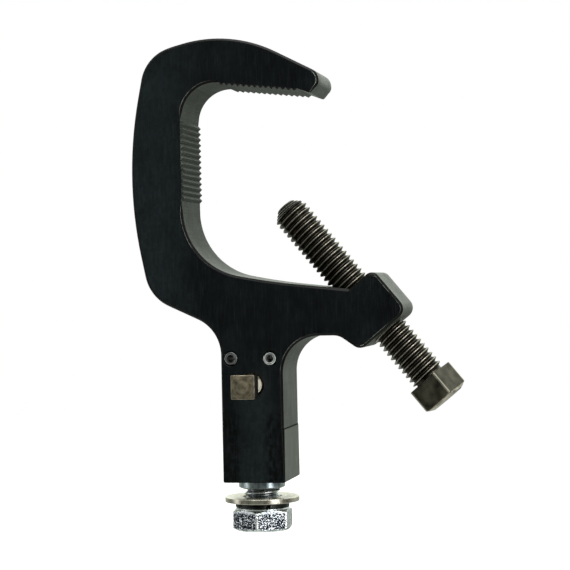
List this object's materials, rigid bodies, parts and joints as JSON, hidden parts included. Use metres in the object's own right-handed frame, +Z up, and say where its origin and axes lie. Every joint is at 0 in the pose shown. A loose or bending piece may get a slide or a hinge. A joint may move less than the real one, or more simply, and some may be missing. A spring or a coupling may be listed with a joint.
{
  "type": "pipe clamp",
  "caption": "Hook-type pipe clamp for stage lighting: serrated jaw, square-head pressing bolt, and a lockable swivel spud that carries a fixture bolt below the stem.",
  "frame": {"origin": "centre of a seated 48.3 mm pipe, halfway through the clamp's thickness", "axes": "+Z up, +Y along the pipe, +X towards the open side of the jaw; the lock screw is on the -Y face"},
  "size_m": [0.1102, 0.0394, 0.167],
  "materials": {
    "body": "black anodised, brushed faces and satin extruded sides",
    "pipe_bolt": "dark brown oxide, threads rubbed bright on their crests",
    "spud": "turned, zinc plated",
    "pins": "dark spring steel",
    "lock_screw": "turned steel with a brown tarnish",
    "fixture_bolt": "bright zinc plate, mottled",
    "flat_washer": "zinc plate, slightly yellowed",
    "lock_washer": "dark spring steel"
  },
  "bodies": {
    "clamp": {"clamp_body": "body", "retaining_pin_left": "pins", "retaining_pin_right": "pins"},
    "pipe_bolt": {"pipe_bolt": "pipe_bolt"},
    "spud": {"swivel_spud": "spud"},
    "lock_screw": {"lock_screw": "lock_screw"},
    "washers": {"flat_washer": "flat_washer", "lock_washer": "lock_washer"},
    "fixture_bolt": {"fixture_bolt": "fixture_bolt"}
  },
  "joints": [
    {"name": "pipe_bolt_travel", "type": "slide", "parent": "clamp", "child": "pipe_bolt", "axis": [-0.6347, 0, 0.7727], "range_m": [-0.035, 0.0205]},
    {"name": "spud_swivel", "type": "hinge", "parent": "clamp", "child": "spud", "pos_m": [-0.002, 0, -0.085], "axis": [0, 0, 1], "continuous": true},
    {"name": "lock_screw_travel", "type": "slide", "parent": "clamp", "child": "lock_screw", "axis": [0, -1, 0], "range_m": [0, 0.0035]},
    {"name": "washers_travel", "type": "slide", "parent": "spud", "child": "washers", "axis": [0, 0, 1], "range_m": [-0.0196, 0.0022]},
    {"name": "fixture_bolt_turn", "type": "hinge", "parent": "washers", "child": "fixture_bolt", "pos_m": [-0.002, 0, -0.1179], "axis": [0, 0, 1], "range_deg": [-3612, 405]}
  ],
  "couplings": [
    {"joint": "fixture_bolt_turn", "follows": "washers_travel", "rad_per_m": 3215.8}
  ]
}
